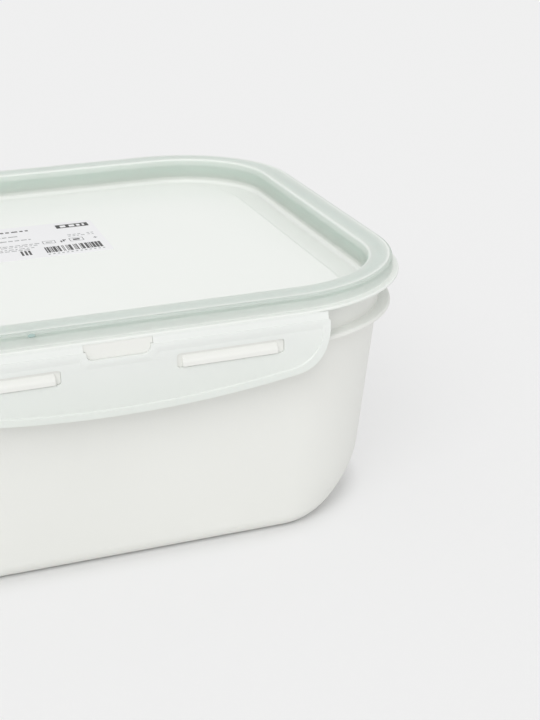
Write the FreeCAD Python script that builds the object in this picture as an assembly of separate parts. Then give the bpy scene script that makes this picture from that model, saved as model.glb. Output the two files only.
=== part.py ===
import FreeCAD
import Part
import math
import os

# Shut food container: tapered tub, recessed lid with a soft gasket in its rim,
# four snap flaps hinged on the lid's lip, and a paper label on the lid.
# Millimetres, Z up, the tub stands on Z = 0, the long front side faces -Y.

# overall sizes, taken over the outer line of the lid's crown
length = 237.0
width = 212.0
height = 98.5
corner = 54.0            # plan radius of the outer corners

# lid
crown_width = 9.9        # flat top of the rim
crown_thick = 1.3
crown_round = 1.2
rim_wall = 1.8           # outer wall of the gasket channel
rim_wall_draft = 0.3
rim_wall_high = 5.2      # crown top down to the lip's top
lip_reach = 2.4          # lip beyond the crown's outer line
lip_thick = 1.1
dish_depth = 11.0        # crown top down to the panel
dish_wall = 1.6
dish_draft = 1.0
dish_tighter = 3.3       # the dish's corners are that much tighter than the rim's
panel_thick = 1.6
plateau_high = 0.4       # raised middle field of the panel
plateau_end_land = 10.6  # dish wall to the raised field, at the short ends
plateau_side_land = 5.1
plateau_corner = 32.0

# tub
wall = 1.5
floor_thick = 2.2
base_inset = 15.6        # wall line at the floor, measured in from the crown's line
long_side_round = 6.4    # bottom edge under the long sides
end_round = 23.0         # bottom edge under the short ends
rim_below_crown = 3.5    # top edge of the tub under the crown's top
rim_play = 1.75          # channel wall to the tub's rim
foot_recess = 0.8
foot_land = 5.0
foot_corner = 26.0
flange_thick = 1.8
flange_inset = 0.6
flange_over_bar = 1.2    # flange top over the catch bars' underside

# gasket
gasket_clear = 0.1
gasket_rim_clear = 0.2
gasket_high = 3.7
gasket_groove = 0.6
nib_at = -27.8           # small nib that shows through the front rim wall
nib_long = 2.8
nib_high = 1.4

# flaps, distances outward are measured from the crown's line
hinge_inside_lip = 0.15  # hinge line inside the lip's edge
hinge_gap = 0.6          # lip underside down to the hinge line
web_thick = 0.5
web_high = 1.7           # hinge line down to the flap's thick plate
flap_inside_hinge = 0.45
flap_thick = 1.6
flap_high = 23.9
flap_field = 0.4         # depth of the recessed field inside the border
flap_border = 3.3
flap_side_border = 2.2
flap_bead = 1.7          # thick band under the living hinge
flap_bow = 390.0         # radius of the lower edge
flap_corner_run = 11.5
flap_corner_rise = 14.5
window_depth = 3.2
slot_below_top = 4.9
slot_high = 5.2
slot_round = 1.2
bar_clear = 0.4          # slot edge to catch bar
bar_end_clear = 1.1
bar_proud = 0.5          # bar beyond the flap's outer face
bar_high = 2.8

# one entry per flap length: half length, hinge from and to, slot from and to
long_flap = dict(half=74.8, hinge=(11.8, 70.0), slot=(20.3, 55.3), window=10.8)
short_flap = dict(half=44.0, hinge=(8.8, 40.5), slot=(13.0, 33.0), window=7.8)

# label
label_size = (61.0, 45.0)
label_middle = (-4.5, 25.0)
label_thick = 0.15

lip_top_z = height - rim_wall_high
lip_low_z = lip_top_z - lip_thick
channel_top_z = height - crown_thick
panel_top_z = height - dish_depth
tub_rim_z = height - rim_below_crown
rim_inset = rim_wall + rim_play
side_draft = (base_inset - rim_inset) / tub_rim_z
dish_top_inset = crown_width - dish_wall
dish_top_corner = corner - dish_top_inset - dish_tighter
dish_foot_inset = crown_width + dish_draft

hinge_out = lip_reach - hinge_inside_lip
hinge_z = lip_low_z - hinge_gap
flap_inner = hinge_out - flap_inside_hinge
flap_outer = flap_inner + flap_thick
flap_top_z = hinge_z - web_high
flap_low_z = flap_top_z - flap_high
slot_top_z = flap_top_z - slot_below_top
slot_low_z = slot_top_z - slot_high
bar_low_z = slot_low_z + bar_clear
bar_reach = flap_outer + bar_proud
flange_top_z = bar_low_z + flange_over_bar


def point(x, y, z=0.0):
    return FreeCAD.Vector(x, y, z)


def wall_inset(z):
    """Outer face of the tub's wall, in from the crown's line, before the bottom edge is rounded."""
    return base_inset - side_draft * z


def rounding_inset(radius, z):
    """How far a rounded bottom edge draws in at height z."""
    if z >= radius:
        return 0.0
    return radius - math.sqrt(radius * radius - (radius - z) ** 2)


def rounded_polygon(corners, place):
    """Face of a closed outline of (a, b, radius) corners, each put in space by place(a, b)."""
    count = len(corners)
    pieces = []
    starts, ends = [], []
    for i, (a, b, radius) in enumerate(corners):
        here = FreeCAD.Vector(a, b, 0)
        before = FreeCAD.Vector(*corners[i - 1][:2], 0) - here
        after = FreeCAD.Vector(*corners[(i + 1) % count][:2], 0) - here
        before.normalize()
        after.normalize()
        if radius == 0:
            starts.append(here)
            ends.append(here)
            pieces.append(None)
            continue
        half = before.getAngle(after) / 2
        reach = radius / math.tan(half)
        middle = before + after
        middle.normalize()
        centre = here + middle * (radius / math.sin(half))
        starts.append(here + before * reach)
        ends.append(here + after * reach)
        pieces.append(centre - middle * radius)
    edges = []
    for i in range(count):
        if pieces[i] is not None:
            arc = [place(p.x, p.y) for p in (starts[i], pieces[i], ends[i])]
            edges.append(Part.Arc(*arc).toShape())
        after = starts[(i + 1) % count]
        if (after - ends[i]).Length > 1e-6:
            edges.append(Part.makeLine(place(ends[i].x, ends[i].y), place(after.x, after.y)))
    return Part.Face(Part.Wire(edges))


def rounded_plate(half_x, half_y, radius, low, high):
    """Flat plate with circular plan corners."""
    outline = [(-half_x, -half_y, radius), (half_x, -half_y, radius),
               (half_x, half_y, radius), (-half_x, half_y, radius)]
    face = rounded_polygon(outline, lambda a, b: point(a, b, low))
    return face.extrude(point(0, 0, high - low))


def drafted_plug(top_inset, top_radius, top_z, low_inset, low_radius, low_z):
    """Rounded block that narrows from its top to its bottom outline."""
    wires = []
    for inset, radius, z in ((top_inset, top_radius, top_z), (low_inset, low_radius, low_z)):
        half_x, half_y = length / 2 - inset, width / 2 - inset
        outline = [(-half_x, -half_y, radius), (half_x, -half_y, radius),
                   (half_x, half_y, radius), (-half_x, half_y, radius)]
        wires.append(rounded_polygon(outline, lambda a, b, level=z: point(a, b, level)).OuterWire)
    return Part.makeLoft(wires, True, True)


def rim_sweep(profile):
    """Carries a closed profile of (inset, height, radius) once round the container."""
    turn_x, turn_y = length / 2 - corner, width / 2 - corner
    front = rounded_polygon(profile, lambda a, b: point(-turn_x, -width / 2 + a, b))
    side = rounded_polygon(profile, lambda a, b: point(length / 2 - a, -turn_y, b))
    pieces = [front.extrude(point(2 * turn_x, 0, 0)), side.extrude(point(0, 2 * turn_y, 0))]
    for start, centre in ((front.translated(point(2 * turn_x, 0, 0)), point(turn_x, -turn_y)),
                          (side.translated(point(0, 2 * turn_y, 0)), point(turn_x, turn_y))):
        pieces.append(start.revolve(centre, point(0, 0, 1), 90))
    pieces += [piece.rotated(point(0, 0), point(0, 0, 1), 180) for piece in pieces]
    return pieces[0].multiFuse(pieces[1:]).removeSplitter()


def tub_outline(z, inward, from_floor):
    """Plan outline of the tub's wall, `inward` from its outer face, with soft quarter curves."""
    inset = wall_inset(z) + inward
    reach_x = corner - inset - rounding_inset(end_round - inward, from_floor)
    reach_y = corner - inset - rounding_inset(long_side_round - inward, from_floor)
    turn_x, turn_y = length / 2 - corner, width / 2 - corner
    handle = 4 / 3 * (math.sqrt(2) - 1)
    edges = []
    for quarter in range(4):
        sign_x, sign_y = ((1, -1), (1, 1), (-1, 1), (-1, -1))[quarter]
        centre = point(sign_x * turn_x, sign_y * turn_y, z)
        if quarter % 2 == 0:
            first, last = point(0, sign_y * reach_y), point(sign_x * reach_x, 0)
        else:
            first, last = point(sign_x * reach_x, 0), point(0, sign_y * reach_y)
        curve = Part.BezierCurve()
        curve.setPoles([centre + first, centre + first + last * handle,
                        centre + last + first * handle, centre + last])
        edges.append(curve.toShape())
    closed = []
    for i, edge in enumerate(edges):
        closed.append(edge)
        start = edge.Vertexes[-1].Point
        closed.append(Part.makeLine(start, edges[(i + 1) % 4].Vertexes[0].Point))
    return Part.Wire(closed)


def tub_block(inward, low, top):
    """Solid bounded by the tub's outer face, or by its inner face when inward is the wall."""
    steps = [0, 0.25, 0.9, 2.0, 3.6, 5.6, 8.4, 12.0, 17.0, end_round]
    foot = [tub_outline(low + step, inward, step) for step in steps]
    wall_top = tub_outline(top, inward, top - low)
    return Part.makeLoft(foot, True, False, False, 3).fuse(Part.makeLoft([foot[-1], wall_top], True, True))


def on_side(shape, side):
    """Moves a shape drawn at the origin, outward along -Y, to side 0 front, 1 right, 2 back, 3 left."""
    reach = width / 2 if side % 2 == 0 else length / 2
    shape = shape.translated(point(0, -reach))
    return shape.rotated(point(0, 0), point(0, 0, 1), 90 * side)


def block(u_from, u_to, out_from, out_to, low, high):
    return Part.makeBox(u_to - u_from, out_to - out_from, high - low, point(u_from, -out_to, low))


def catch_bar(u_from, u_to):
    """Bar on the flange that a flap's slot snaps over, bevelled on its upper outer edge."""
    bevel = 1.1
    top = bar_low_z + bar_high
    outline = [(-flange_inset - 0.9, bar_low_z, 0), (bar_reach, bar_low_z, 0.3),
               (bar_reach, top - bevel, 0.4), (bar_reach - bevel, top, 0.4),
               (-flange_inset - 0.9, top, 0.4)]
    face = rounded_polygon(outline, lambda a, b: point(u_from, -a, b))
    return face.extrude(point(u_to - u_from, 0, 0))


def make_tub():
    shell = tub_block(0, 0, tub_rim_z).cut(tub_block(wall, floor_thick, tub_rim_z + 2))
    foot_x = length / 2 - base_inset - end_round - foot_land
    foot_y = width / 2 - base_inset - long_side_round - foot_land
    shell = shell.cut(rounded_plate(foot_x, foot_y, foot_corner, -1, foot_recess))
    flange = rim_sweep([(flange_inset, flange_top_z - flange_thick, 0.5), (flange_inset, flange_top_z, 0.8),
                        (6.4, flange_top_z, 0), (6.4, flange_top_z - flange_thick, 0)])
    additions = [flange]
    for side in range(4):
        start, end = (long_flap if side % 2 == 0 else short_flap)["slot"]
        for sign in (-1, 1):
            ends = sorted((sign * (start + bar_end_clear), sign * (end - bar_end_clear)))
            additions.append(on_side(catch_bar(*ends), side))
    return shell.multiFuse(additions).removeSplitter()


def make_lid():
    rim = rim_sweep([(-lip_reach, lip_low_z, 0.3), (-lip_reach, lip_top_z, 0.4),
                     (-0.1, lip_top_z, 0.6), (rim_wall_draft - 0.1, height, crown_round),
                     (5.0, height, 0), (5.0, channel_top_z, 0),
                     (rim_wall, channel_top_z, 0.7), (rim_wall, lip_low_z, 0)])
    crown = rounded_plate(length / 2 - 4, width / 2 - 4, corner - 4, channel_top_z, height)
    shell = drafted_plug(dish_top_inset, dish_top_corner, height,
                         dish_top_inset + dish_draft, dish_top_corner - dish_draft, panel_top_z - panel_thick)
    hollow_corner = dish_top_corner - dish_wall
    hollow = drafted_plug(crown_width, hollow_corner, height,
                          dish_foot_inset, hollow_corner - dish_draft, panel_top_z)
    lid = rim.multiFuse([crown, shell]).cut(hollow).removeSplitter()
    rounded = [edge for edge in lid.Edges if is_dish_edge(edge)]
    lid = lid.makeFillet(crown_round, rounded)
    plateau = rounded_plate(length / 2 - dish_foot_inset - plateau_end_land,
                            width / 2 - dish_foot_inset - plateau_side_land, plateau_corner,
                            panel_top_z - panel_thick / 2, panel_top_z + plateau_high)
    lid = lid.fuse(plateau).removeSplitter()
    return lid.cut(nib(0.1, -0.6, rim_wall + 0.2))


def is_dish_edge(edge):
    """True on the crown's inner edge and on the foot of the dish wall."""
    box = edge.BoundBox
    level = box.ZMax - box.ZMin < 1e-3
    inset = min(length / 2 - max(abs(box.XMin), abs(box.XMax)), width / 2 - max(abs(box.YMin), abs(box.YMax)))
    at_crown = abs(box.ZMax - height) < 1e-3
    at_panel = abs(box.ZMax - panel_top_z) < 1e-3
    return level and inset > crown_width - 0.5 and (at_crown or at_panel)


def nib(clear, inset_from, inset_to):
    """Short oblong peg through the front rim wall."""
    high = nib_high / 2 + clear
    long = nib_long / 2 + clear
    middle = channel_top_z - nib_high / 2 - 0.15
    outline = [(nib_at - long, middle - high, high * 0.95), (nib_at + long, middle - high, high * 0.95),
               (nib_at + long, middle + high, high * 0.95), (nib_at - long, middle + high, high * 0.95)]
    face = rounded_polygon(outline, lambda a, b: point(a, -width / 2 + inset_from, b))
    return face.extrude(point(0, inset_to - inset_from, 0))


def make_gasket():
    top = channel_top_z - gasket_clear
    low = top - gasket_high
    outer = rim_wall + gasket_clear
    corner_loss = (math.sqrt(2) - 1) * dish_tighter
    inner = dish_top_inset - corner_loss - gasket_clear
    rim_outer = wall_inset(low) - gasket_rim_clear - 0.25
    rim_inner = wall_inset(low) + wall + gasket_rim_clear
    slot_top = tub_rim_z + gasket_clear
    third = gasket_high / 3
    profile = [(outer, low, 0.3), (outer, low + third - 0.2, 0), (outer + gasket_groove, low + third, 0),
               (outer + gasket_groove, top - third, 0), (outer, top - third + 0.2, 0), (outer, top, 0.6),
               (inner, top, 0.4), (inner, low, 0.3), (rim_inner, low, 0),
               (rim_inner, slot_top, 0), (rim_outer, slot_top, 0), (rim_outer, low, 0)]
    return rim_sweep(profile).fuse(nib(0, 0.25, rim_wall + 1.2)).removeSplitter()


def flap_outline(half, low, top, out):
    """Face of a flap: straight top, soft lower corners, bowed lower edge."""
    run = flap_corner_run
    end_x = half - run
    end_z = low + flap_bow - math.sqrt(flap_bow ** 2 - end_x ** 2)
    shoulder_z = min(end_z + flap_corner_rise, top - 2)

    def put(x, z):
        return point(x, -out, z)

    def soft_corner(sign):
        curve = Part.BezierCurve()
        curve.setPoles([put(sign * end_x, end_z), put(sign * (half - run * 0.52), end_z + run * 0.11),
                        put(sign * (half - run * 0.1), end_z + run * 0.4), put(sign * half, shoulder_z)])
        return curve.toShape()

    edges = [Part.makeLine(put(-half, top), put(half, top)),
             Part.makeLine(put(half, top), put(half, shoulder_z)),
             soft_corner(1),
             Part.Arc(put(end_x, end_z), put(0, low), put(-end_x, end_z)).toShape(),
             soft_corner(-1),
             Part.makeLine(put(-half, shoulder_z), put(-half, top))]
    return Part.Face(Part.Wire(Part.__sortEdges__(edges)))


def make_flap(kind, side):
    half = kind["half"]
    plate = flap_outline(half, flap_low_z, flap_top_z, flap_inner)
    plate = plate.extrude(point(0, flap_inner - flap_outer, 0))
    field = flap_outline(half - flap_side_border, flap_low_z + flap_border,
                         flap_top_z - flap_bead, flap_outer - flap_field)
    plate = plate.cut(field.extrude(point(0, -1, 0)))
    opening = kind["window"]
    window = rounded_polygon([(-opening - 1.0, flap_top_z + 1, 0), (-opening + 1.3, flap_top_z - window_depth, 1.5),
                              (opening - 1.3, flap_top_z - window_depth, 1.5), (opening + 1.0, flap_top_z + 1, 0)],
                             lambda a, b: point(a, 0, b))
    plate = plate.cut(window.extrude(point(0, -10, 0)))
    start, end = kind["slot"]
    hinge_start, hinge_end = kind["hinge"]
    webs = []
    for sign in (-1, 1):
        near, far = sorted((sign * start, sign * end))
        slot = rounded_polygon([(near, slot_low_z, slot_round), (far, slot_low_z, slot_round),
                                (far, slot_top_z, slot_round), (near, slot_top_z, slot_round)],
                               lambda a, b: point(a, 0, b))
        plate = plate.cut(slot.extrude(point(0, -10, 0)))
        near, far = sorted((sign * hinge_start, sign * hinge_end))
        webs.append(block(near, far, hinge_out - web_thick / 2, hinge_out + web_thick / 2,
                          flap_top_z - 0.5, hinge_z))
    return on_side(plate.multiFuse(webs).removeSplitter(), side)


def make_label():
    plate = rounded_plate(label_size[0] / 2, label_size[1] / 2, 1.5, 0, label_thick)
    return plate.translated(point(label_middle[0], label_middle[1], panel_top_z + plateau_high))


os.makedirs("parts", exist_ok=True)
solids = {"tub": make_tub(), "lid": make_lid(), "gasket": make_gasket(), "label": make_label()}
for side, name in enumerate(("front", "right", "back", "left")):
    kind = long_flap if side % 2 == 0 else short_flap
    solids["flap_" + name] = make_flap(kind, side)

for name, shape in solids.items():
    if shape.ShapeType == "Compound" and len(shape.Solids) == 1:
        shape = shape.Solids[0]
    shape.exportStep("parts/" + name + ".step")
    box = shape.optimalBoundingBox()
    print(name, len(shape.Solids), "solid", shape.isValid(), round(shape.Volume), "mm3",
          [round(v, 1) for v in (box.XMin, box.XMax, box.YMin, box.YMax, box.ZMin, box.ZMax)])
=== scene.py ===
import math
import random

import bmesh
import bpy
from mathutils import Matrix, Vector
from mathutils.geometry import tessellate_polygon


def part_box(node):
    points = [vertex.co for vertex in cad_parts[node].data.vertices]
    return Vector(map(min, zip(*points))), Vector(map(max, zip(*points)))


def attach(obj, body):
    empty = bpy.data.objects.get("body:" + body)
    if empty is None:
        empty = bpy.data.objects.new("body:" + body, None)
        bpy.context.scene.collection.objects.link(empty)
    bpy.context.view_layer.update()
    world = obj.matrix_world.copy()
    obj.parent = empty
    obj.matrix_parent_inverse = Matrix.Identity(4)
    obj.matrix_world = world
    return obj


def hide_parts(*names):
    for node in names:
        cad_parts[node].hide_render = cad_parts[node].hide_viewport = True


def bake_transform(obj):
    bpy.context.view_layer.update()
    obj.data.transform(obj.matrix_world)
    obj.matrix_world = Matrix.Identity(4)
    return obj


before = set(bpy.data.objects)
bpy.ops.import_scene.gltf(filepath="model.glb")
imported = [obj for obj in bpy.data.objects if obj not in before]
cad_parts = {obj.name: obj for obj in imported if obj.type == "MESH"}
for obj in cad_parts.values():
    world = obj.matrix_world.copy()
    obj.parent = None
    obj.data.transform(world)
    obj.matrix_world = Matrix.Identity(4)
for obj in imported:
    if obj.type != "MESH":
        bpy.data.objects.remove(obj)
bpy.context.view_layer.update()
scene = bpy.context.scene
mm = 0.001
sideNames = ["front", "right", "back", "left"]   # same order as quarter turns about Z
plasticIor = 1.49

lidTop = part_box("lid")[1]
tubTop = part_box("tub")[1]
labelLow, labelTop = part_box("label")


def mix(a, b, t):
    return a + (b - a) * t


def newObject(name, mesh, material, body, smooth=True):
    piece = bpy.data.objects.new(name, mesh)
    scene.collection.objects.link(piece)
    if material:
        piece.data.materials.clear()
        piece.data.materials.append(material)
    for face in mesh.polygons:
        face.use_smooth = smooth
    if body:
        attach(piece, body)
    return piece


def meshFrom(bm, name):
    bmesh.ops.recalc_face_normals(bm, faces=bm.faces)
    mesh = bpy.data.meshes.new(name)
    bm.to_mesh(mesh)
    bm.free()
    return mesh


def sharpByAngle(piece, degrees=40):   # smooth shading that still breaks at real edges
    bm = bmesh.new()
    bm.from_mesh(piece.data)
    limit = math.radians(degrees)
    for edge in bm.edges:
        if len(edge.link_faces) == 2 and edge.calc_face_angle(0) > limit:
            edge.smooth = False
    bm.to_mesh(piece.data)
    bm.free()


def planLoop(halfX, halfY, reachX, reachY, z, cornerSteps=18, sideSteps=6):
    # one turn round a rounded rectangle with quarter ellipses as corners, starting at the front side
    points = []
    for quarter in range(4):
        signX, signY = ((1, -1), (1, 1), (-1, 1), (-1, -1))[quarter]
        centre = Vector((signX * (halfX - reachX), signY * (halfY - reachY), z))
        for i in range(cornerSteps + 1):
            turn = math.radians(90) * (quarter - 1 + i / cornerSteps)
            points.append(centre + Vector((math.cos(turn) * reachX, math.sin(turn) * reachY, 0)))
        after = ((1, 1), (-1, 1), (-1, -1), (1, -1))[quarter]
        nextCentre = Vector((after[0] * (halfX - reachX), after[1] * (halfY - reachY), z))
        turn = math.radians(90) * quarter
        start = points[-1]
        end = nextCentre + Vector((math.cos(turn) * reachX, math.sin(turn) * reachY, 0))
        for i in range(1, sideSteps):
            points.append(start.lerp(end, i / sideSteps))
    return points


def skinLoops(name, loops, through=None, ring=False):
    # closed skin through the loops: flat caps at both ends, or joined end to end
    # through is a value for each loop
    bm = bmesh.new()
    layer = bm.verts.layers.float.new("through") if through else None
    rows = [[bm.verts.new(p) for p in loop] for loop in loops]
    count = len(rows[0])
    if through:
        for row, value in zip(rows, through):
            for vertex in row:
                vertex[layer] = value
    pairs = [(k, k + 1) for k in range(len(rows) - 1)] + ([(len(rows) - 1, 0)] if ring else [])
    for k, after in pairs:
        for i in range(count):
            j = (i + 1) % count
            bm.faces.new((rows[k][i], rows[k][j], rows[after][j], rows[after][i]))
    if not ring:
        bm.faces.new(rows[0])
        bm.faces.new(rows[-1])
    return meshFrom(bm, name)


def roundedPath(corners, steps=5):
    # open line through (a, b, radius, extra); each radius becomes an arc, extra is carried along
    path = []
    for i, (a, b, radius, extra) in enumerate(corners):
        here = Vector((a, b))
        if radius == 0 or i in (0, len(corners) - 1):
            path.append((a, b, extra))
            continue
        before = (Vector(corners[i - 1][:2]) - here).normalized()
        after = (Vector(corners[i + 1][:2]) - here).normalized()
        half = before.angle(after) / 2
        middle = (before + after).normalized()
        centre = here + middle * (radius / math.sin(half))
        start = here + before * (radius / math.tan(half)) - centre
        end = here + after * (radius / math.tan(half)) - centre
        sweep = start.angle(end)
        for k in range(steps + 1):
            t = k / steps
            spoke = (start * math.sin((1 - t) * sweep) + end * math.sin(t * sweep)) / math.sin(sweep)
            path.append((centre.x + spoke.x, centre.y + spoke.y, extra))
    return path


def onSide(point, side, reach):   # (along, outward, up) on a side's middle to the frame
    along, outward, up = point
    local = Vector((along, -outward - reach, up))
    return Matrix.Rotation(math.radians(90) * side, 3, "Z") @ local


def newMaterial(name):
    material = bpy.data.materials.new(name)
    material.use_nodes = True
    nodes = material.node_tree.nodes
    return material, nodes, material.node_tree.links, nodes["Principled BSDF"]


def addNoise(nodes, links, scale, detail=2):
    place = nodes.new("ShaderNodeTexCoord")
    mapping = nodes.new("ShaderNodeMapping")
    noise = nodes.new("ShaderNodeTexNoise")
    noise.inputs["Scale"].default_value = scale
    noise.inputs["Detail"].default_value = detail
    links.new(place.outputs["Object"], mapping.inputs["Vector"])
    links.new(mapping.outputs["Vector"], noise.inputs["Vector"])
    return noise


def addBump(nodes, links, shader, noise, strength, distance=0.0002):
    bump = nodes.new("ShaderNodeBump")
    bump.inputs["Strength"].default_value = strength
    bump.inputs["Distance"].default_value = distance
    links.new(noise.outputs["Fac"], bump.inputs["Height"])
    links.new(bump.outputs["Normal"], shader.inputs["Normal"])
    return bump


def addTone(nodes, links, shader, noise, low, high):   # base colour that drifts gently between two tones
    ramp = nodes.new("ShaderNodeValToRGB")
    for element, position, colour in zip(ramp.color_ramp.elements, (0.3, 0.7), (low, high)):
        element.position = position
        element.color = (*colour, 1)
    links.new(noise.outputs["Fac"], ramp.inputs["Fac"])
    links.new(ramp.outputs["Color"], shader.inputs["Base Color"])
    return ramp


def byHeight(nodes, links, low, high):   # a value between two (height, value) pairs on the piece
    place = nodes.new("ShaderNodeTexCoord")
    split = nodes.new("ShaderNodeSeparateXYZ")
    height = nodes.new("ShaderNodeMapRange")
    height.inputs["From Min"].default_value, height.inputs["To Min"].default_value = low
    height.inputs["From Max"].default_value, height.inputs["To Max"].default_value = high
    links.new(place.outputs["Object"], split.inputs["Vector"])
    links.new(split.outputs["Z"], height.inputs["Value"])
    return height.outputs["Result"]


# each finish: two tones it drifts between, roughness, scale of drift and of fine grain, depth of the grain
tubPlastic = {
    "low": (0.845, 0.85, 0.815), "high": (0.865, 0.87, 0.835), "roughness": 0.42,
    "drift": 14, "grain": 900, "bump": 0.12,
}
milkyPlastic = {   # through None: each vertex says how much glows through
    "low": (0.955, 0.980, 0.942), "high": (0.962, 0.985, 0.949), "roughness": 0.3,
    "drift": 18, "grain": 700, "bump": 0.08, "clear": 0.04, "through": None,
}
flapPlastic = {   # glows through more towards the lower edge than near the hinge, set by height to lighten the shade on the tub under the flap (painted light)
    "low": (0.955, 0.982, 0.953), "high": (0.965, 0.988, 0.962), "roughness": 0.3,
    "drift": 18, "grain": 700, "bump": 0.08, "clear": 0.04, "through": ((66 * mm, 0.42), (88 * mm, 0.12)),
}
paintedHighlightEdgePlastic = dict(flapPlastic, through=0.1, clear=0.0)   # painted highlight: the rounded edges glow through less, so they look brighter than the flap
mintSilicone = {
    "low": (0.34, 0.62, 0.60), "high": (0.38, 0.66, 0.64), "roughness": 0.55,
    "drift": 14, "grain": 500, "bump": 0.2,
}
deepMint = {
    "low": (0.40, 0.53, 0.50), "high": (0.44, 0.57, 0.54), "roughness": 0.5,
    "drift": 14, "grain": 500, "bump": 0.2,
}
labelPaper = {
    "low": (0.89, 0.89, 0.90), "high": (0.92, 0.92, 0.93), "roughness": 0.6,
    "drift": 14, "grain": 2500, "bump": 0.1,
}
printInk = {
    "low": (0.035, 0.035, 0.035), "high": (0.075, 0.075, 0.075), "roughness": 0.5,
    "drift": 14, "grain": 2500, "bump": 0.05,
}
paleInk = dict(printInk, low=(0.30, 0.31, 0.31), high=(0.38, 0.39, 0.39))


def makeSolidPlastic(name, look):
    material, nodes, links, shader = newMaterial(name)
    addTone(nodes, links, shader, addNoise(nodes, links, look["drift"]), look["low"], look["high"])
    addBump(nodes, links, shader, addNoise(nodes, links, look["grain"]), look["bump"])
    shader.inputs["Roughness"].default_value = look["roughness"]
    shader.inputs["IOR"].default_value = plasticIor
    return material


def makeMilkyPlastic(name, look):   # part scatters back, part glows through, a little goes straight through
    material, nodes, links, shader = newMaterial(name)
    tone = addTone(nodes, links, shader, addNoise(nodes, links, look["drift"]), look["low"], look["high"])
    bump = addBump(nodes, links, shader, addNoise(nodes, links, look["grain"]), look["bump"])
    shader.inputs["Roughness"].default_value = look["roughness"]
    shader.inputs["IOR"].default_value = plasticIor
    glow = nodes.new("ShaderNodeBsdfTranslucent")
    links.new(tone.outputs["Color"], glow.inputs["Color"])
    links.new(bump.outputs["Normal"], glow.inputs["Normal"])
    milky = nodes.new("ShaderNodeMixShader")
    if look["through"] is None:
        own = nodes.new("ShaderNodeAttribute")
        own.attribute_name = "through"
        links.new(own.outputs["Fac"], milky.inputs["Fac"])
    elif isinstance(look["through"], tuple):
        links.new(byHeight(nodes, links, *look["through"]), milky.inputs["Fac"])
    else:
        milky.inputs["Fac"].default_value = look["through"]
    links.new(shader.outputs["BSDF"], milky.inputs[1])
    links.new(glow.outputs["BSDF"], milky.inputs[2])
    clear = nodes.new("ShaderNodeBsdfTransparent")
    blend = nodes.new("ShaderNodeMixShader")
    blend.inputs["Fac"].default_value = look["clear"]
    links.new(milky.outputs["Shader"], blend.inputs[1])
    links.new(clear.outputs["BSDF"], blend.inputs[2])
    links.new(blend.outputs["Shader"], nodes["Material Output"].inputs["Surface"])
    return material


tubMaterial = makeSolidPlastic("whitePlastic", tubPlastic)
lidMaterial = makeMilkyPlastic("milkyPlastic", milkyPlastic)
flapMaterial = makeMilkyPlastic("milkyFlapPlastic", flapPlastic)
# painted highlight on the flaps' rounded edges
paintedHighlightEdgeMaterial = makeMilkyPlastic("milkyPaintedHighlightEdge", paintedHighlightEdgePlastic)
nibMaterial = makeSolidPlastic("deepMintSilicone", deepMint)
gasketMaterial = makeSolidPlastic("mintSilicone", mintSilicone)
paperMaterial = makeSolidPlastic("labelPaper", labelPaper)
inkMaterial = makeSolidPlastic("printInk", printInk)
paleInkMaterial = makeSolidPlastic("palePrintInk", paleInk)
finishes = {"tub": tubMaterial, "lid": lidMaterial, "gasket": gasketMaterial, "label": paperMaterial}
for name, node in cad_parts.items():   # nodes that stay visible get the same finishes
    node.data.materials.clear()
    node.data.materials.append(finishes.get(name, flapMaterial))
print("materials made")


lid = {   # insets run inwards from the crown's outer line
    "lipReach": 2.4 * mm, "lipThick": 1.1 * mm, "rimWall": 1.8 * mm, "rimWallHigh": 5.2 * mm,
    "crownWidth": 9.9 * mm, "crownThick": 1.3 * mm, "corner": 54 * mm, "rimLean": 0.1 * mm,
    "dishDepth": 11 * mm, "dishWall": 1.6 * mm, "dishDraft": 1.0 * mm, "dishTighter": 3.3 * mm,
    "panelThick": 1.6 * mm, "land": 4 * mm, "plateauHigh": 0.4 * mm, "plateauCorner": 32 * mm,
    "plateauEndLand": 10.6 * mm, "plateauSideLand": 5.1 * mm, "plateauSlope": 0.62 * mm,
    "plateauRise": ((-1.5, 0), (-0.5, 0), (-0.2, 0.12), (0.2, 0.88), (0.5, 1), (1.5, 1)),
    "crownRound": 0.9 * mm, "dishTopRound": 0.8 * mm, "dishFootRound": 1.6 * mm,
    "underRound": 2.4 * mm, "channelRound": 0.6 * mm, "channelInnerRound": 0.5 * mm,
    "lipRound": 0.4 * mm, "lipLowRound": 0.35 * mm, "lipRootRound": 0.2 * mm,
    # The last entry on the next line is a narrow band of the crown top, near its outer edge, that glows through
    # less, so it shows as a painted highlight line.
    "crownStep": 1.1 * mm, "paintedHighlightBand": (2.2 * mm, 1.45 * mm, 1.2 * mm),
}
glow = {   # how much glows through the lid; down a wall, (height in mm, share)
    # The steps down the rim wall make dark and light bands, partly the gasket showing through and partly painted
    # reflection; the steps down the dish wall make a dark band, partly the gasket and partly painted shade of the
    # gap behind the dish wall. The low shares at the dish top and in the highlight band make painted highlight
    # lines.
    "dish": ((97.6, 0.5), (95.9, 0.5), (95.4, 0.74), (90.7, 0.74), (90.2, 0.5), (89.2, 0.35)),
    "rim": ((97.3, 0.78), (96.6, 0.78), (96.2, 0.5), (95.6, 0.5), (95.2, 0.48), (94.0, 0.36)),
    "field": 0.0, "land": 0.05, "foot": 0.13, "dishTop": 0.2, "crown": 0.42, "paintedHighlightBand": 0.1,
    "crownRound": 0.6, "lipRoot": 0.2, "lip": 0.08, "lipUnder": 0.4, "channel": 0.6, "under": 0.2,
}
crownHalfX = lidTop.x - lid["lipReach"]   # the crown's outer line, which all insets are taken from
crownHalfY = lidTop.y - lid["lipReach"]
panelTopZ = lidTop.z - lid["dishDepth"]
lipTopZ = lidTop.z - lid["rimWallHigh"]
lipLowZ = lipTopZ - lid["lipThick"]


def rimLoop(inset, z, tighter=0.0):
    reach = lid["corner"] - inset - tighter
    return planLoop(crownHalfX - inset, crownHalfY - inset, reach, reach, z)


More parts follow.
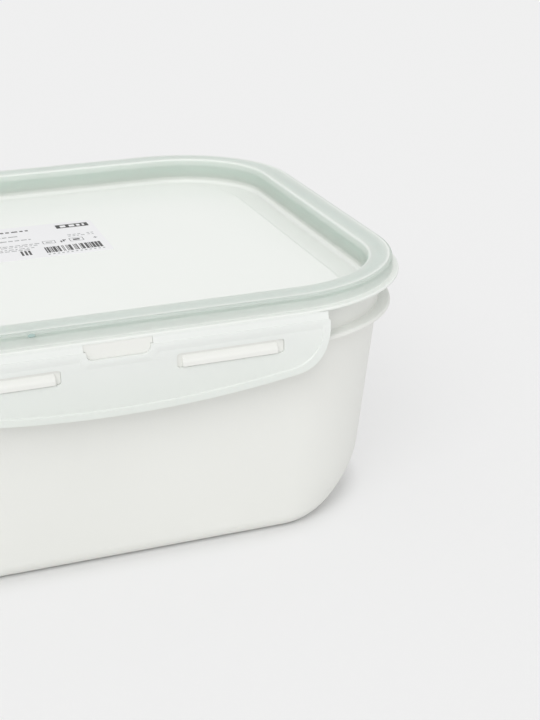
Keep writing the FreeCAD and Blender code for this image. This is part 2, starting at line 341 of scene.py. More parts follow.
def wallLine(fromPoint, toPoint, stops):   # extra points down a straight wall
    line = []
    for up, value in stops:
        t = (up * mm - fromPoint[1]) / (toPoint[1] - fromPoint[1])
        line.append((mix(fromPoint[0], toPoint[0], t), up * mm, value))
    return line


def lidSection():   # inset, height, rounding, (corner tightening, glow), from the panel over the crown and back
    top, tight, lean = lidTop.z, lid["dishTighter"], lid["rimLean"]
    channelTop = top - lid["crownThick"]
    dishFoot = lid["crownWidth"] + lid["dishDraft"]
    dishOut = lid["crownWidth"] - lid["dishWall"]
    panelLow = panelTopZ - lid["panelThick"]
    dishWall = wallLine((lid["crownWidth"], top), (dishFoot, panelTopZ), glow["dish"])
    rimWall = wallLine((lean, top), (-lean, lipTopZ), glow["rim"])
    # painted highlight line on the crown top
    bandFrom, bandTo, bandEnd = lid["paintedHighlightBand"]
    corners = [(dishFoot + lid["land"], panelTopZ, 0, (tight, glow["land"])),
               (dishFoot, panelTopZ, lid["dishFootRound"], (tight, glow["foot"]))]
    corners += [(inset, z, 0, (tight, value)) for inset, z, value in reversed(dishWall)]
    corners += [(lid["crownWidth"], top, lid["dishTopRound"], (tight, glow["dishTop"])),
                (lid["crownWidth"] - lid["crownStep"], top, 0, (tight, glow["crown"])),
                (bandFrom, top, 0, (0, glow["crown"])),
                (bandTo, top, 0, (0, glow["paintedHighlightBand"])),
                (bandEnd, top, 0, (0, glow["paintedHighlightBand"])),
                (lean, top, lid["crownRound"], (0, glow["crownRound"]))]
    corners += [(inset, z, 0, (0, value)) for inset, z, value in rimWall]
    corners += [(-lean, lipTopZ, lid["lipRound"], (0, glow["lipRoot"])),
                (-lid["lipReach"], lipTopZ, lid["lipRound"], (0, glow["lip"])),
                (-lid["lipReach"], lipLowZ, lid["lipLowRound"], (0, glow["lip"])),
                (lid["rimWall"], lipLowZ, lid["lipRootRound"], (0, glow["lipUnder"])),
                (lid["rimWall"], channelTop, lid["channelRound"], (0, glow["channel"])),
                (dishOut, channelTop, lid["channelInnerRound"], (tight, glow["channel"])),
                (dishOut + lid["dishDraft"], panelLow, lid["underRound"], (tight, glow["under"])),
                (dishFoot + lid["land"], panelLow, 0, (tight, glow["field"]))]
    return roundedPath(corners), dishFoot


def makeLid():
    section, dishFoot = lidSection()
    loops = [rimLoop(inset, z, extra[0]) for inset, z, extra in section]
    through = [extra[1] for inset, z, extra in section]
    endInset = dishFoot + lid["plateauEndLand"]
    sideInset = dishFoot + lid["plateauSideLand"]
    plateau = []
    for shift, rise in lid["plateauRise"]:   # step up to the middle field
        step = shift * lid["plateauSlope"]
        reach = lid["plateauCorner"] - step
        plateau.append(planLoop(crownHalfX - endInset - step, crownHalfY - sideInset - step, reach, reach,
                                panelTopZ + rise * lid["plateauHigh"]))
    stepThrough = [glow["field"] if rise > 0.5 else glow["land"] for shift, rise in reversed(lid["plateauRise"])]
    return skinLoops("lid", list(reversed(plateau)) + loops, stepThrough + through)


lidPiece = newObject("lidShell", makeLid(), lidMaterial, "box")
sharpByAngle(lidPiece, 50)
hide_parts("lid")
print("lid made")


# The groove between the outer ribs makes a light band on the rim wall, partly the gasket's shape and partly a
# painted reflection. The inner lip hangs down the outside of the dish wall so that it shows through as a dark
# mint band: above 93.4 mm it stands for the gasket, below that it is painted shade for the open gap between the
# dish wall and the tub's rim.
gasket = {   # section as (inset, height, corner tightening): outer ribs, inner lip, then the rim's slot
    "section": (
        (1.9, 92.7, 0), (1.9, 94.9, 0), (3.0, 95.25, 0), (3.0, 96.0, 0), (1.9, 96.3, 0), (1.9, 96.9, 0),
        (2.1, 97.1, 0), (8.0, 97.1, 3.3), (8.25, 96.6, 3.3), (8.45, 94.8, 3.3), (8.85, 90.6, 3.3),
        (8.65, 90.3, 3.3), (7.7, 90.6, 3.3), (7.3, 93.1, 3.3), (6.9, 93.4, 1.5), (5.55, 93.4, 0),
        (5.5, 95.05, 0), (3.3, 95.05, 0), (3.15, 92.7, 0)),
    "nib": {
        "at": -27.6 * mm, "long": 2.5 * mm, "high": 1.25 * mm, "up": 97.2 * mm, "proud": 0.12 * mm,
        "root": 2.0 * mm, "face": 0.02 * mm, "steps": 24,
    },
}


def makeGasket():
    loops = [rimLoop(inset * mm, z * mm, tighter * mm) for inset, z, tighter in gasket["section"]]
    return skinLoops("gasket", loops, ring=True)


def makeNib():   # small oval of the gasket that fills its filling hole in the front rim wall
    nib = gasket["nib"]
    steps = nib["steps"]
    bm = bmesh.new()
    rows = []
    dome = ((nib["root"], 1), (nib["face"], 1), (-nib["proud"] * 0.7, 0.9), (-nib["proud"], 0.6))
    for inset, size in dome:   # straight through the wall, then a low dome
        rows.append([bm.verts.new((nib["at"] + math.cos(math.tau * i / steps) * nib["long"] / 2 * size,
                                   -(crownHalfY - inset),
                                   nib["up"] + math.sin(math.tau * i / steps) * nib["high"] / 2 * size))
                     for i in range(steps)])
    for low, high in zip(rows, rows[1:]):
        for i in range(steps):
            j = (i + 1) % steps
            bm.faces.new((low[i], low[j], high[j], high[i]))
    bm.faces.new(rows[0])
    bm.faces.new(rows[-1])
    return meshFrom(bm, "nib")


gasketPiece = newObject("gasketRing", makeGasket(), gasketMaterial, "box")
sharpByAngle(gasketPiece, 55)
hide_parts("gasket")
nibPiece = newObject("gasketNib", makeNib(), nibMaterial, "box")
print("gasket made")


label = {"corner": 1.2 * mm, "cornerSteps": 6, "inkThick": 0.02 * mm, "seed": 7}
layout = {   # millimetres; marks are (middle x, middle y, width, height), rows (left, right, middle y, height)
    "code": (-0.3, 23.0, 11.2, 7.6), "codeLean": 1.3 / 23.6 * 0.3,
    "codeStripes": (0.28, 0.28, 0.56, 0.84, 1.1), "codeGaps": (0.28, 0.28, 0.56, 0.84),
    "underCode": (0.2, 22.6, 5.4, 0.06, 0.9, 13),
    "block": ((16.9, 43.5, 13.8, 1.0), (16.9, 39.6, 13.8, 1.0), (10.9, 41.5, 1.8, 3.4), (23.0, 41.5, 1.6, 3.4),
              (14.9, 41.5, 1.5, 3.0), (18.4, 41.5, 0.9, 3.0), (20.8, 41.5, 0.9, 3.0)),
    "bars": ((-9.9, 10.2, 0.9, 6.0), (-8.3, 10.2, 0.9, 6.0), (-6.8, 10.2, 0.9, 6.0)),
    "title": (-33, -2.0, 41, 1.5), "titleWords": {"gap": 0.9, "shortest": 1.2, "longest": 3.0},
    "lines": ((-33, -6.6, 34.2, 1.0), (-33, -3.1, 28.4, 1.0)),
    "smallLines": ((-33, -0.9, 21.4, 0.75), (-33, -1.4, 19.4, 0.75),
                   (-33, -2.6, 16.6, 0.75), (-33, -6.0, 14.6, 0.75)),
    "frames": ((0.6, 5.6, 19.6, 23.2, 0.35), (11.8, 17.3, 19.4, 23.6, 0.4)),
    "darkSpots": ((14.5, 21.5, 2.8, 1.8), (8.1, 20.6, 0.7, 2.2), (9.2, 21.6, 0.7, 2.6), (10.0, 22.4, 0.5, 1.2)),
    "paleSpots": ((3.1, 21.4, 2.6, 1.0), (22.4, 21.3, 1.7, 0.6), (22.4, 21.3, 0.5, 2.2)),
    "sideLines": ((12.2, 19.2, 28.6, 0.7, 1.6), (20.4, 23.2, 28.8, 0.7, 1.4),
                  (12.2, 19.6, 26.6, 0.7, 1.6), (20.4, 23.4, 26.8, 0.7, 1.4)),
}


def makePaper():
    bm = bmesh.new()
    low, high, r = labelLow, labelTop, label["corner"]
    rows = []
    for z in (low.z, high.z):
        row = []
        for k, (cx, cy) in enumerate(((high.x - r, low.y + r), (high.x - r, high.y - r),
                                      (low.x + r, high.y - r), (low.x + r, low.y + r))):
            for i in range(label["cornerSteps"] + 1):
                turn = math.radians(90) * (k - 1 + i / label["cornerSteps"])
                row.append(bm.verts.new((cx + math.cos(turn) * r, cy + math.sin(turn) * r, z)))
        rows.append(row)
    count = len(rows[0])
    for i in range(count):
        bm.faces.new((rows[0][i], rows[0][(i + 1) % count], rows[1][(i + 1) % count], rows[1][i]))
    bm.faces.new(rows[0])
    bm.faces.new(rows[1])
    return meshFrom(bm, "paper")


def printTree():   # one flat block at every point, as large as the point's own size
    tree = bpy.data.node_groups.new("printBars", "GeometryNodeTree")
    tree.interface.new_socket("Geometry", in_out="INPUT", socket_type="NodeSocketGeometry")
    thick = tree.interface.new_socket("Thickness", in_out="INPUT", socket_type="NodeSocketFloat")
    ink = tree.interface.new_socket("Ink", in_out="INPUT", socket_type="NodeSocketMaterial")
    tree.interface.new_socket("Geometry", in_out="OUTPUT", socket_type="NodeSocketGeometry")
    nodes, links = tree.nodes, tree.links
    entry, leave = nodes.new("NodeGroupInput"), nodes.new("NodeGroupOutput")
    block = nodes.new("GeometryNodeMeshCube")
    size = nodes.new("ShaderNodeCombineXYZ")
    size.inputs["X"].default_value = 1
    size.inputs["Y"].default_value = 1
    own = nodes.new("GeometryNodeInputNamedAttribute")
    own.data_type = "FLOAT_VECTOR"
    own.inputs["Name"].default_value = "size"
    place = nodes.new("GeometryNodeInstanceOnPoints")
    real = nodes.new("GeometryNodeRealizeInstances")
    finish = nodes.new("GeometryNodeSetMaterial")
    links.new(entry.outputs["Thickness"], size.inputs["Z"])
    links.new(size.outputs["Vector"], block.inputs["Size"])
    links.new(entry.outputs["Geometry"], place.inputs["Points"])
    links.new(block.outputs["Mesh"], place.inputs["Instance"])
    links.new(own.outputs["Attribute"], place.inputs["Scale"])
    links.new(place.outputs["Instances"], real.inputs["Geometry"])
    links.new(real.outputs["Geometry"], finish.inputs["Geometry"])
    links.new(entry.outputs["Ink"], finish.inputs["Material"])
    links.new(finish.outputs["Geometry"], leave.inputs["Geometry"])
    return tree, thick.identifier, ink.identifier


def printMarks(name, marks, ink):   # marks are (middle x, middle y, width, height) in millimetres
    tree, thickSocket, inkSocket = printTree()
    points = bpy.data.meshes.new(name)
    z = labelTop.z + label["inkThick"] / 2
    points.from_pydata([(x * mm, y * mm, z) for x, y, w, h in marks], [], [])
    size = points.attributes.new("size", "FLOAT_VECTOR", "POINT")
    for i, (x, y, w, h) in enumerate(marks):
        size.data[i].vector = (w * mm, h * mm, 1)
    carrier = bpy.data.objects.new(name + "Points", points)
    scene.collection.objects.link(carrier)
    modifier = carrier.modifiers.new("print", "NODES")
    modifier.node_group = tree
    modifier[thickSocket] = label["inkThick"]
    modifier[inkSocket] = ink
    evaluated = carrier.evaluated_get(bpy.context.evaluated_depsgraph_get())
    mesh = bpy.data.meshes.new_from_object(evaluated)
    bpy.data.objects.remove(carrier)
    mesh.name = name
    piece = newObject(name, mesh, None, "box", smooth=False)
    return piece


def wordRow(picker, left, right, y, high, gap=0.7, shortest=0.8, longest=4.0):   # dashes of word length
    marks, x = [], left
    while x < right - shortest:
        long = min(picker.uniform(shortest, longest), right - x)
        marks.append((x + long / 2, y, long, high))
        x += long + gap
    return marks


def labelMarks():
    picker = random.Random(label["seed"])
    dark, pale = [], []
    start, stop, codeY, codeHigh = layout["code"]
    x = start   # stripes of one long code, five widths
    while x < stop:
        wide = picker.choice(layout["codeStripes"])
        dark.append((x + wide / 2, codeY + (x - start) * layout["codeLean"], wide, codeHigh))
        x += wide + picker.choice(layout["codeGaps"])
    left, right, y, climb, size, count = layout["underCode"]   # small marks under the code
    pale += [(mix(left, right, i / (count - 1)), y + i * climb, size, size) for i in range(count)]
    dark += list(layout["block"]) + list(layout["bars"])   # dark block with plain windows, three plain bars
    dark += wordRow(picker, *layout["title"], **layout["titleWords"])
    for row in layout["lines"]:
        pale += wordRow(picker, *row)
    for row in layout["smallLines"]:
        pale += wordRow(picker, *row, longest=2.6)
    for left, right, low, high, thick in layout["frames"]:
        middleX, middleY = (left + right) / 2, (low + high) / 2
        pale += [(middleX, low, right - left, thick), (middleX, high, right - left, thick),
                 (left, middleY, thick, high - low), (right, middleY, thick, high - low)]
    dark += layout["darkSpots"]
    pale += layout["paleSpots"]
    for *row, longest in layout["sideLines"]:
        pale += wordRow(picker, *row, longest=longest)
    return dark, pale


paperPiece = newObject("labelPaper", makePaper(), paperMaterial, "box", smooth=False)
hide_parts("label")
darkMarks, paleMarks = labelMarks()
printMarks("labelPrint", darkMarks, inkMaterial)
printMarks("labelSmallPrint", paleMarks, paleInkMaterial)
print("label made")


tub = {
    "wall": 1.5 * mm, "floorThick": 2.2 * mm, "baseInset": 15.6 * mm, "rimInset": 3.55 * mm,
    "corner": 54 * mm, "longSideRound": 6.4 * mm, "endRound": 23 * mm,
    "footRecess": 0.8 * mm, "footLand": 5 * mm, "footCorner": 26 * mm,
    "flangeInset": 0.6 * mm, "flangeTop": 81.4 * mm, "flangeThick": 1.8 * mm, "neckFillet": 0.2 * mm,
    "flangeRound": 0.8 * mm, "edgeRound": 0.5 * mm, "footStep": 0.2 * mm, "footSlope": -0.4 * mm,
    "turnSteps": 16, "wallSteps": 6,
    "innerTurn": 0.93, "innerLevels": (40 * mm, 60 * mm), "neckInner": 80 * mm,
}
rimZ = tubTop.z
draft = (tub["baseInset"] - tub["rimInset"]) / rimZ


def roundingInset(radius, z):
    if z >= radius:
        return 0.0
    return radius - math.sqrt(radius * radius - (radius - z) ** 2)


def wallLoop(z, inward=0.0, fromFloor=None):
    fromFloor = z if fromFloor is None else fromFloor
    inset = tub["baseInset"] - draft * z + inward
    insetX = inset + roundingInset(tub["endRound"] - inward, fromFloor)
    insetY = inset + roundingInset(tub["longSideRound"] - inward, fromFloor)
    return planLoop(crownHalfX - insetX, crownHalfY - insetY,
                    tub["corner"] - insetX, tub["corner"] - insetY, z)


def ringLoop(inset, z):
    reach = tub["corner"] - inset
    return planLoop(crownHalfX - inset, crownHalfY - inset, reach, reach, z)


def wallInset(z):
    return tub["baseInset"] - draft * z


def makeTub():
    footX = crownHalfX - tub["baseInset"] - tub["endRound"] - tub["footLand"]
    footY = crownHalfY - tub["baseInset"] - tub["longSideRound"] - tub["footLand"]
    loops = []
    foot = ((tub["footSlope"], tub["footRecess"]), (0, tub["footRecess"] - tub["footStep"]), (tub["footStep"], 0))
    for grow, z in foot:
        reach = tub["footCorner"] + grow
        loops.append(planLoop(footX + grow, footY + grow, reach, reach, z))
    turns, straights = tub["turnSteps"], tub["wallSteps"]
    levels = []
    for radius in (tub["longSideRound"], tub["endRound"]):   # closer rows where each bottom edge turns
        levels += [radius * (1 - math.cos(math.radians(90) * i / turns)) for i in range(turns + 1)]
    levels = sorted(set(round(z, 6) for z in levels))
    flangeTop, flangeLow = tub["flangeTop"], tub["flangeTop"] - tub["flangeThick"]
    levels += [mix(tub["endRound"], flangeLow, i / straights) for i in range(1, straights)]
    loops += [wallLoop(z) for z in levels]
    below, bend, edgeRound = flangeLow - 2 * mm, tub["flangeRound"], tub["edgeRound"]
    edge = roundedPath([
        (wallInset(below), below, 0, 0),
        (wallInset(flangeLow), flangeLow, bend, 0),
        (tub["flangeInset"], flangeLow, edgeRound, 0),
        (tub["flangeInset"], flangeTop, bend, 0),
        (wallInset(flangeTop), flangeTop, tub["neckFillet"], 0),
        (tub["rimInset"], rimZ, edgeRound, 0),
        (tub["rimInset"] + tub["wall"], rimZ, edgeRound, 0),
        (wallInset(tub["neckInner"]) + tub["wall"], tub["neckInner"], 0, 0)])
    loops += [ringLoop(inset, z) for inset, z, extra in edge]
    inner = [tub["floorThick"] + z * tub["innerTurn"] for z in levels if z < tub["endRound"]]
    for z in reversed(inner + list(tub["innerLevels"])):
        loops.append(wallLoop(z, tub["wall"], z - tub["floorThick"]))
    return skinLoops("tub", loops)


tubPiece = newObject("tubShell", makeTub(), tubMaterial, "box")
sharpByAngle(tubPiece, 60)
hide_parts("tub")
print("tub made")


flap = {
    "thick": 1.6 * mm, "field": 0.4 * mm, "fieldSlope": 0.4 * mm, "beadSlope": 1.5 * mm,
    "border": 2.4 * mm, "sideBorder": 2.2 * mm, "bead": 1.7 * mm, "topRound": 0.6 * mm,
    "bow": 390 * mm, "bowSteps": 16, "cornerRun": 11.5 * mm, "cornerRise": 14.5 * mm, "cornerSteps": 14,
    "cornerPoles": ((0.52, 0.11), (0.1, 0.4)), "shoulderBelow": 2 * mm, "shoulderStep": 0.5 * mm,
    "windowDepth": 3.2 * mm, "windowBorder": 1.2 * mm, "windowSideBorder": 1.6 * mm,
    "windowOut": 0.3 * mm, "windowIn": 0.2 * mm, "windowTopRound": 0.4 * mm, "windowRound": 2.4 * mm,
    "slotBelowTop": 4.9 * mm, "slotHigh": 5.2 * mm, "slotRound": 1.2 * mm,
}
web = {
    "thick": 0.5 * mm, "high": 1.7 * mm, "insideFace": 0.45 * mm, "steps": 8, "intoFlap": 0.4 * mm,
    "intoLip": 0.25 * mm, "underFace": 0.12 * mm, "topShare": 0.9, "slope": 1.15, "curve": 0.8,
}
bar = {
    "clear": 0.4 * mm, "nearClear": 1.9 * mm, "farClear": 2.5 * mm, "proud": 0.5 * mm, "high": 2.8 * mm,
    "bevel": 1.1 * mm, "bevelShare": 0.7, "slope": 1.5 * mm, "slopeIn": 0.3 * mm, "back": 1.8 * mm,
    "rootIn": 0.9 * mm, "bossClear": 0.45 * mm, "bossWider": 1.6 * mm, "bossHigh": 2.9 * mm, "bossDeep": 5 * mm,
    "bossUnder": 0.5 * mm, "bossSlope": 0.8 * mm, "middleTop": 0.25 * mm, "middleWider": 2.5 * mm,
}
pad = {"clear": 0.06 * mm, "sunk": 1.25 * mm, "behind": 1 * mm, "intoLip": 0.2 * mm, "shoulder": 0.3 * mm}
longFlap = {"hinge": (11.8 * mm, 74.2 * mm), "slot": (19.6 * mm, 57.9 * mm), "window": 10.8 * mm}
shortFlap = {"hinge": (8.8 * mm, 43.5 * mm), "slot": (12.6 * mm, 35 * mm), "window": 7.8 * mm}


def sidePlace(side):
    low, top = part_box("flap_" + sideNames[side])
    along = 0 if side % 2 == 0 else 1
    across = 1 - along
    reach = crownHalfY if side % 2 == 0 else crownHalfX
    outer = max(abs(low[across]), abs(top[across])) - reach
    return {"half": top[along], "reach": reach, "outer": outer, "low": low.z, "top": top.z - web["high"]}


def bowUp(low, along):   # height of the bowed lower edge
    return low + flap["bow"] - math.sqrt(flap["bow"] ** 2 - along ** 2)


def flapLine(half, low, top, window, windowLow):
    # closed outline (along, up): bowed lower edge, soft lower corners, notch in the straight top
    run, bowSteps, cornerSteps = flap["cornerRun"], flap["bowSteps"], flap["cornerSteps"]
    endX = half - run
    endZ = bowUp(low, endX)
    shoulder = min(endZ + flap["cornerRise"], top - flap["shoulderBelow"])
    right = []
    for i in range(bowSteps + 1):
        along = mix(0, endX, i / bowSteps)
        right.append((along, bowUp(low, along)))
    poles = [(endX, endZ)]
    poles += [(half - run * back, endZ + run * rise) for back, rise in flap["cornerPoles"]]
    poles.append((half, shoulder))
    for i in range(1, cornerSteps + 1):
        t = i / cornerSteps
        weights = ((1 - t) ** 3, 3 * t * (1 - t) ** 2, 3 * t * t * (1 - t), t ** 3)
        right.append(tuple(sum(w * p[k] for w, p in zip(weights, poles)) for k in (0, 1)))
    topLine = roundedPath([
        (half, shoulder + flap["shoulderStep"], 0, 0), (half, top, flap["topRound"], 0),
        (window + flap["windowOut"], top, flap["windowTopRound"], 0),
        (window - flap["windowIn"], windowLow, flap["windowRound"], 0), (0, windowLow, 0, 0)])
    right += [(a, b) for a, b, extra in topLine]
    left = [(-a, b) for a, b in reversed(right[1:-1])]
    return right + left


def slotLine(near, far, low, top):
    corners = [(near, low), (far, low), (far, top), (near, top)]
    ring = [(a, b, flap["slotRound"], 0) for a, b in corners]
    line = roundedPath([ring[-1]] + ring + [ring[0]], 6)
    return [(a, b) for a, b, extra in line[1:-1]]


def flatFaces(bm, rings):   # triangles between an outline and the holes in it
    vertices = [v for ring in rings for v in ring]
    flat = [[Vector((*v[1], 0)) for v in ring] for ring in rings]
    for triangle in tessellate_polygon(flat):
        bm.faces.new([vertices[i][0] for i in triangle])


def wallFaces(bm, first, second):
    count = len(first)
    for i in range(count):
        j = (i + 1) % count
        bm.faces.new((first[i][0], first[j][0], second[j][0], second[i][0]))


def makeFlap(side):
    kind = longFlap if side % 2 == 0 else shortFlap
    place = sidePlace(side)
    half, top, low = place["half"], place["top"], place["low"]
    bm = bmesh.new()

    def ring(line, outward):
        return [(bm.verts.new(onSide((a, outward, b), side, place["reach"])), (a, b)) for a, b in line]

    windowLow = top - flap["windowDepth"]
    outline = flapLine(half, low, top, kind["window"], windowLow)
    fields = []
    for slope, under in ((0, 0), (flap["fieldSlope"], flap["beadSlope"])):   # the step into the field leans
        fields.append(flapLine(half - flap["sideBorder"] - slope, low + flap["border"] + slope,
                               top - flap["bead"] - under, kind["window"] + flap["windowSideBorder"] + slope,
                               windowLow - flap["windowBorder"] - under))
    slots = []
    for sign in (-1, 1):
        near, far = sorted(sign * value for value in kind["slot"])
        slotTop = top - flap["slotBelowTop"]
        slots.append(slotLine(near, far, slotTop - flap["slotHigh"], slotTop))
    outer, inner = place["outer"], place["outer"] - flap["thick"]
    floor = outer - flap["field"]
    outlineFront, outlineBack = ring(outline, outer), ring(outline, inner)
    fieldTop, fieldFloor = ring(fields[0], outer), ring(fields[1], floor)
    slotsFront = [ring(line, floor) for line in slots]
    slotsBack = [ring(line, inner) for line in slots]
    flatFaces(bm, [outlineFront, fieldTop])
    flatFaces(bm, [fieldFloor] + slotsFront)
    flatFaces(bm, [outlineBack] + slotsBack)
    wallFaces(bm, outlineFront, outlineBack)
    wallFaces(bm, fieldTop, fieldFloor)
    for front, back in zip(slotsFront, slotsBack):
        wallFaces(bm, front, back)
    return meshFrom(bm, "flap")


def makeWebs(side):   # living hinges: thin at the lip, sloping out to the flap's outer face
    kind = longFlap if side % 2 == 0 else shortFlap
    place = sidePlace(side)
    inside = place["outer"] - flap["thick"] + web["insideFace"] - web["thick"] / 2
    bm = bmesh.new()
    for sign in (-1, 1):
        near, far = sorted(sign * value for value in kind["hinge"])
        rows = []
        for i in range(web["steps"] + 1):
            t = i / web["steps"]
            up = mix(place["top"] - web["intoFlap"], lipLowZ + web["intoLip"], t)
            skin = mix(place["outer"] - web["underFace"], inside + web["thick"] * web["topShare"],
                       min(1, t * web["slope"]) ** web["curve"])
            rows.append([bm.verts.new(onSide((along, outward, up), side, place["reach"]))
                         for along, outward in ((near, skin), (far, skin), (far, inside), (near, inside))])
        for lower, upper in zip(rows, rows[1:]):
            for i in range(4):
                j = (i + 1) % 4
                bm.faces.new((lower[i], lower[j], upper[j], upper[i]))
        bm.faces.new(rows[0])
        bm.faces.new(rows[-1])
    return meshFrom(bm, "hingeWebs"), inside + web["thick"] / 2


def addPrism(bm, section, near, far, side, reach):   # straight length of a section along a side
    ends = [[bm.verts.new(onSide((along, a, b), side, reach)) for a, b in section] for along in (near, far)]
    for i in range(len(section)):
        j = (i + 1) % len(section)
        bm.faces.new((ends[0][i], ends[0][j], ends[1][j], ends[1][i]))
    bm.faces.new(ends[0])
    bm.faces.new(ends[1])


def makeBars():   # catch bars through the slots, on low bosses that show through slots and windows
    bm = bmesh.new()
    for side in range(4):
        kind = longFlap if side % 2 == 0 else shortFlap
        place = sidePlace(side)
        low = place["top"] - flap["slotBelowTop"] - flap["slotHigh"] + bar["clear"]
        top = low + bar["high"]
        reach = place["outer"] + bar["proud"]
        face = place["outer"] - flap["thick"] - bar["bossClear"]
        deep = face - bar["bossDeep"]
        root = -tub["flangeInset"] - bar["rootIn"]
        behind = place["outer"] - flap["thick"] - bar["slopeIn"]   # sloped top that the flap slides down over
        section = [(root, low), (reach, low), (reach, top - bar["bevel"]),
                   (reach - bar["bevel"] * bar["bevelShare"], top),
                   (behind, top + bar["slope"]), (root, top + bar["back"])]
        bossLow, bossTop = tub["flangeTop"] - bar["bossUnder"], top + bar["bossHigh"]
        boss = [(deep, bossLow), (face, bossLow), (face, bossTop), (deep, bossTop + bar["bossSlope"])]
        slotNear, slotFar = kind["slot"]
        for sign in (-1, 1):
            near, far = sorted((sign * (slotNear + bar["nearClear"]), sign * (slotFar - bar["farClear"])))
            addPrism(bm, section, near, far, side, place["reach"])
            near, far = sorted((sign * slotNear, sign * slotFar))
            addPrism(bm, boss, near - bar["bossWider"], far + bar["bossWider"], side, place["reach"])
        middleTop = lipLowZ - bar["middleTop"]
        middle = boss[:2] + [(face, middleTop), (deep, middleTop)]
        half = kind["window"] + bar["middleWider"]
        addPrism(bm, middle, -half, half, side, place["reach"])
    return meshFrom(bm, "catchBars")


def makePads():   # low pads that stand in the slots round the bars and in the windows
    bm = bmesh.new()
    gap = pad["clear"]
    for side in range(4):
        kind = longFlap if side % 2 == 0 else shortFlap
        place = sidePlace(side)
        slotTop = place["top"] - flap["slotBelowTop"]
        lines = []
        for sign in (-1, 1):
            near, far = sorted(sign * value for value in kind["slot"])
            lines.append(slotLine(near + gap, far - gap, slotTop - flap["slotHigh"] + gap, slotTop - gap))
        low, top, wide = place["top"] - flap["windowDepth"] + gap, place["top"], kind["window"] - gap
        hingeNear, notch = kind["hinge"][0] - gap, wide + flap["windowOut"]
        right = roundedPath([(hingeNear, lipLowZ + pad["intoLip"], 0, 0), (hingeNear, top + gap, 0, 0),
                             (notch, top + gap, 0, 0), (notch, top - pad["shoulder"], 0, 0),
                             (wide - flap["windowIn"], low, flap["windowRound"], 0), (0, low, 0, 0)])
        right = [(a, b) for a, b, extra in right]
        lines.append(right + [(-a, b) for a, b in reversed(right[:-1])])
        outer = place["outer"] - pad["sunk"]
        inner = place["outer"] - flap["thick"] - bar["bossClear"] - pad["behind"]
        for line in lines:
            rings = [[bm.verts.new(onSide((a, outward, b), side, place["reach"])) for a, b in line]
                     for outward in (inner, outer)]
            for i in range(len(line)):
                j = (i + 1) % len(line)
                bm.faces.new((rings[0][i], rings[0][j], rings[1][j], rings[1][i]))
            bm.faces.new(rings[0])
            bm.faces.new(rings[1])
    return meshFrom(bm, "catchPads")


softEdge = {"flap": 0.3 * mm, "bar": 0.35 * mm, "segments": 3, "angle": 30}


def addBevel(piece, width, edge=None):
    bevel = piece.modifiers.new("softEdges", "BEVEL")
    bevel.width = width
    bevel.segments = softEdge["segments"]
    bevel.limit_method = "ANGLE"
    bevel.angle_limit = math.radians(softEdge["angle"])
    even = piece.modifiers.new("evenShading", "WEIGHTED_NORMAL")   # flat faces stay flat beside rounded edges
    even.keep_sharp = True
    if edge:   # painted highlight: the rounded edges get a denser finish of their own that looks brighter
        piece.data.materials.append(edge)
        bevel.material = 1


for side, sideName in enumerate(sideNames):
    flapPiece = newObject("flapPlate_" + sideName, makeFlap(side), flapMaterial, sideName + "_flap")
    addBevel(flapPiece, softEdge["flap"], paintedHighlightEdgeMaterial)
    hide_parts("flap_" + sideName)
    webMesh, middle = makeWebs(side)
    webPiece = newObject("hingeWeb_" + sideName, webMesh, flapMaterial, None)
    sharpByAngle(webPiece, 35)
    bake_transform(webPiece)
barPiece = newObject("catchBars", makeBars(), tubMaterial, "box")
addBevel(barPiece, softEdge["bar"])
padPiece = newObject("catchPads", makePads(), tubMaterial, "box")
sharpByAngle(padPiece, 35)
print("flaps, hinges and catch bars made")


camera = {
    "place": (-95.3 * mm, -529 * mm, 259.2 * mm), "turn": (67.84, 0.79, -19.71), "lens": 70.2,
    "nearest": 10 * mm,
}
view = bpy.data.objects.new("camera", bpy.data.cameras.new("camera"))
scene.collection.objects.link(view)
view.location = camera["place"]
view.rotation_euler = [math.radians(angle) for angle in camera["turn"]]
view.data.lens = camera["lens"]
view.data.clip_start = camera["nearest"]
scene.camera = view

light = {
    "world": 0.76, "sun": 0.95, "sunTurn": (50, 0, -32), "sunSoft": 40,
    "paper": 0.863, "floorReach": 12,
    "seen": 0.905, "plain": 0.55, "plainFrom": (103 * mm, 91.5 * mm, 50 * mm), "plainOver": 8 * mm,
}


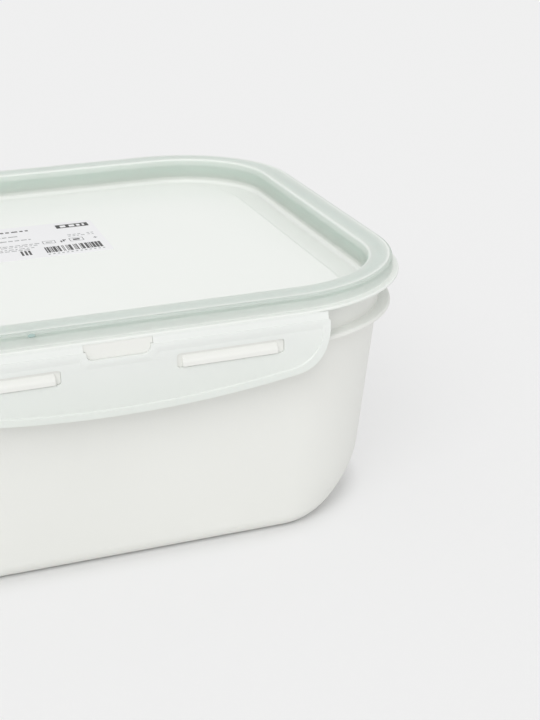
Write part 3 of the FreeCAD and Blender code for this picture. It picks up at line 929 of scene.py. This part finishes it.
def makeFloor():   # away from the box the camera sees it partly as plain paper, so the shadow stays light
    bm = bmesh.new()
    bmesh.ops.create_grid(bm, x_segments=1, y_segments=1, size=light["floorReach"])
    material, nodes, links, shader = newMaterial("floor")
    shader.inputs["Base Color"].default_value = (light["paper"],) * 3 + (1,)
    shader.inputs["Roughness"].default_value = 1
    shader.inputs["Specular IOR Level"].default_value = 0
    plain = nodes.new("ShaderNodeEmission")
    plain.inputs["Color"].default_value = (light["seen"],) * 3 + (1,)
    place = nodes.new("ShaderNodeTexCoord")
    halfX, halfY, radius = light["plainFrom"]
    previous = place.outputs["Object"]
    for operation, value in (("ABSOLUTE", None), ("SUBTRACT", (halfX - radius, halfY - radius, 0)),
                             ("MAXIMUM", (0, 0, 0)), ("LENGTH", None)):
        step = nodes.new("ShaderNodeVectorMath")
        step.operation = operation
        links.new(previous, step.inputs[0])
        if value is not None:
            step.inputs[1].default_value = value
        previous = step.outputs["Value" if operation == "LENGTH" else "Vector"]
    away = nodes.new("ShaderNodeMapRange")
    away.inputs["From Min"].default_value = radius
    away.inputs["From Max"].default_value = radius + light["plainOver"]
    away.inputs["To Max"].default_value = light["plain"]
    links.new(previous, away.inputs["Value"])
    path = nodes.new("ShaderNodeLightPath")
    share = nodes.new("ShaderNodeMath")
    share.operation = "MULTIPLY"
    links.new(path.outputs["Is Camera Ray"], share.inputs[0])
    links.new(away.outputs["Result"], share.inputs[1])
    blend = nodes.new("ShaderNodeMixShader")
    links.new(share.outputs[0], blend.inputs["Fac"])
    links.new(shader.outputs["BSDF"], blend.inputs[1])
    links.new(plain.outputs["Emission"], blend.inputs[2])
    links.new(blend.outputs["Shader"], nodes["Material Output"].inputs["Surface"])
    piece = newObject("floor", meshFrom(bm, "floor"), material, None)
    if piece.data.polygons[0].normal.z < 0:
        piece.data.flip_normals()


def makeWorld():
    world = bpy.data.worlds.new("studio")
    scene.world = world
    world.use_nodes = True
    nodes, links = world.node_tree.nodes, world.node_tree.links
    path = nodes.new("ShaderNodeLightPath")
    seen = nodes.new("ShaderNodeMath")
    seen.operation = "MAXIMUM"
    links.new(path.outputs["Is Camera Ray"], seen.inputs[0])
    links.new(path.outputs["Is Glossy Ray"], seen.inputs[1])
    shown = nodes.new("ShaderNodeBackground")
    shown.inputs["Color"].default_value = (light["paper"],) * 3 + (1,)
    lit = nodes["Background"]
    lit.inputs["Color"].default_value = (1, 1, 1, 1)
    lit.inputs["Strength"].default_value = light["world"]
    blend = nodes.new("ShaderNodeMixShader")
    links.new(seen.outputs[0], blend.inputs["Fac"])
    links.new(lit.outputs["Background"], blend.inputs[1])
    links.new(shown.outputs["Background"], blend.inputs[2])
    links.new(blend.outputs["Shader"], nodes["World Output"].inputs["Surface"])


def makeSun():
    data = bpy.data.lights.new("key", "SUN")
    data.energy = light["sun"]
    data.angle = math.radians(light["sunSoft"])
    sun = bpy.data.objects.new("key", data)
    scene.collection.objects.link(sun)
    sun.rotation_euler = [math.radians(angle) for angle in light["sunTurn"]]


makeFloor()
makeWorld()
makeSun()
scene.view_settings.view_transform = "Standard"
print("camera, light and floor made")
